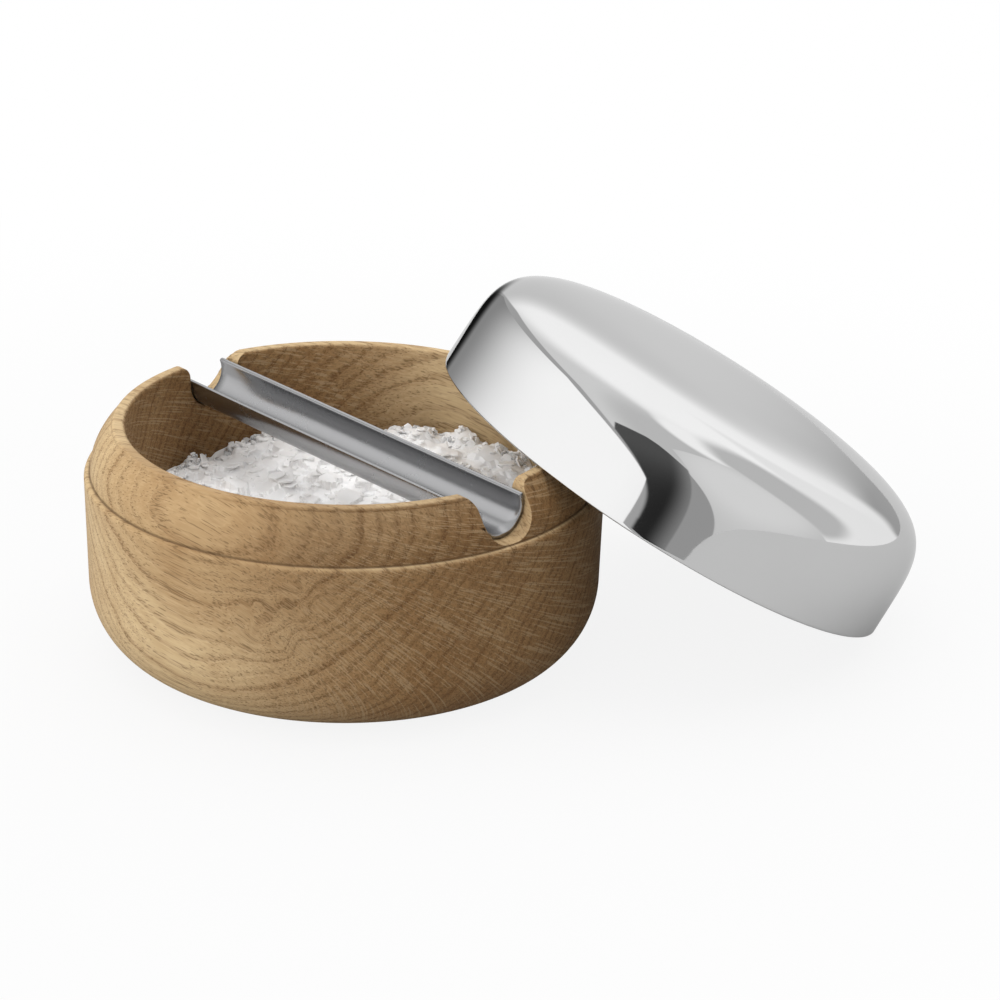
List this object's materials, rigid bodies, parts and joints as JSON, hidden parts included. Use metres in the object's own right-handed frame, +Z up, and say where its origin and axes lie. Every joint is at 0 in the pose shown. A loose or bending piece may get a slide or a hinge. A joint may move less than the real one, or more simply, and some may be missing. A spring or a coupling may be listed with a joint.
{
  "type": "salt cellar",
  "caption": "Round turned-oak salt cellar holding flake salt, with a straight steel scoop lying in notches across its neck and a domed polished steel lid leaning on its rim.",
  "frame": {"origin": "centre of the bowl's flat underside, on the table", "axes": "+Z up along the bowl's axis, +X from the bowl towards the leaning lid, +Y across, to the back as seen in the picture"},
  "size_m": [0.1638, 0.1, 0.0676],
  "materials": {
    "oak": "turned oak, fine sanded, oiled satin",
    "lid_steel": "mirror-polished stainless steel",
    "scoop_steel": "polished stainless steel",
    "salt": "loose coarse salt flakes"
  },
  "bodies": {
    "bowl": {"bowl": "oak", "salt": "salt"},
    "lid": {"lid": "lid_steel"},
    "scoop": {"scoop": "scoop_steel"}
  },
  "joints": [
    {"name": "lid_lift", "type": "slide", "parent": "bowl", "child": "lid", "axis": [0, 0, 1], "range_m": [0, 0.08]},
    {"name": "scoop_lift", "type": "slide", "parent": "bowl", "child": "scoop", "axis": [0, 0, 1], "range_m": [0, 0.05]}
  ]
}
